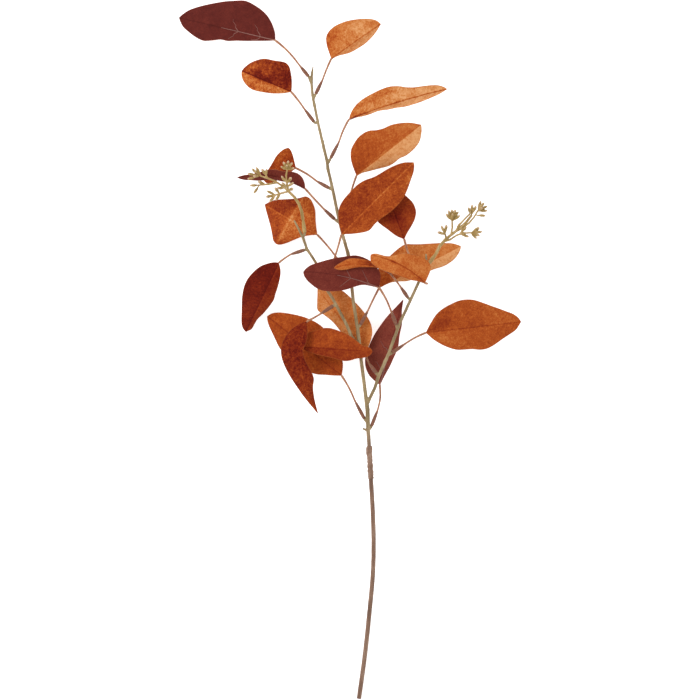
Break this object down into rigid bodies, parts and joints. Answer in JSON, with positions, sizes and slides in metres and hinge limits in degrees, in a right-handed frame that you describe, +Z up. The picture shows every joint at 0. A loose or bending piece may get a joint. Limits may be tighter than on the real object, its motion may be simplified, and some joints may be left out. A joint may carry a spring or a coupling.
{
  "type": "artificial eucalyptus branch",
  "caption": "Single forked stem with rounded cloth leaves on moulded petioles and two sprays of seed buds, lying on a surface.",
  "frame": {"origin": "on the surface the branch lies on, under the middle of its bounding box", "axes": "+Y runs along the stem from the cut end to the top, +X to the right seen from above, +Z up"},
  "size_m": [0.368, 0.7506, 0.078],
  "materials": {
    "cloth_leaf_orange": "matt printed cloth",
    "cloth_leaf_light": "matt printed cloth",
    "cloth_leaf_rust": "matt printed cloth",
    "cloth_leaf_underside": "matt cloth",
    "petiole_plastic": "satin moulded plastic",
    "stem_plastic": "matt moulded plastic",
    "lower_stem_plastic": "matt moulded plastic",
    "binding_tape": "matt stretched tape",
    "seed_bud_plastic": "satin moulded plastic"
  },
  "bodies": {
    "root": {"main_stem": "stem_plastic", "lower_stem": "lower_stem_plastic", "stem_binding": "binding_tape", "left_branch": "stem_plastic", "right_branch": "stem_plastic", "seed_spray_left": "seed_bud_plastic", "seed_spray_right": "seed_bud_plastic", "leaf_01": "cloth_leaf_underside", "petiole_01": "petiole_plastic", "leaf_02": "cloth_leaf_orange", "petiole_02": "petiole_plastic", "leaf_03": "cloth_leaf_orange", "petiole_03": "petiole_plastic", "leaf_04": "cloth_leaf_light", "petiole_04": "petiole_plastic", "leaf_05": "cloth_leaf_orange", "petiole_05": "petiole_plastic", "leaf_06": "cloth_leaf_orange", "petiole_06": "petiole_plastic", "leaf_07": "cloth_leaf_underside", "petiole_07": "petiole_plastic", "leaf_08": "cloth_leaf_rust", "petiole_08": "petiole_plastic", "leaf_09": "cloth_leaf_rust", "petiole_09": "petiole_plastic", "leaf_10": "cloth_leaf_orange", "petiole_10": "petiole_plastic", "leaf_11": "cloth_leaf_underside", "petiole_11": "petiole_plastic", "leaf_12": "cloth_leaf_orange", "petiole_12": "petiole_plastic", "leaf_13": "cloth_leaf_light", "petiole_13": "petiole_plastic", "leaf_14": "cloth_leaf_orange", "petiole_14": "petiole_plastic", "leaf_15": "cloth_leaf_orange", "petiole_15": "petiole_plastic", "leaf_16": "cloth_leaf_rust", "petiole_16": "petiole_plastic", "leaf_17": "cloth_leaf_orange", "petiole_17": "petiole_plastic", "leaf_18": "cloth_leaf_orange", "petiole_18": "petiole_plastic", "leaf_19": "cloth_leaf_rust", "petiole_19": "petiole_plastic", "leaf_20": "cloth_leaf_rust", "petiole_20": "petiole_plastic", "leaf_21": "cloth_leaf_underside", "petiole_21": "petiole_plastic"}
  },
  "joints": []
}
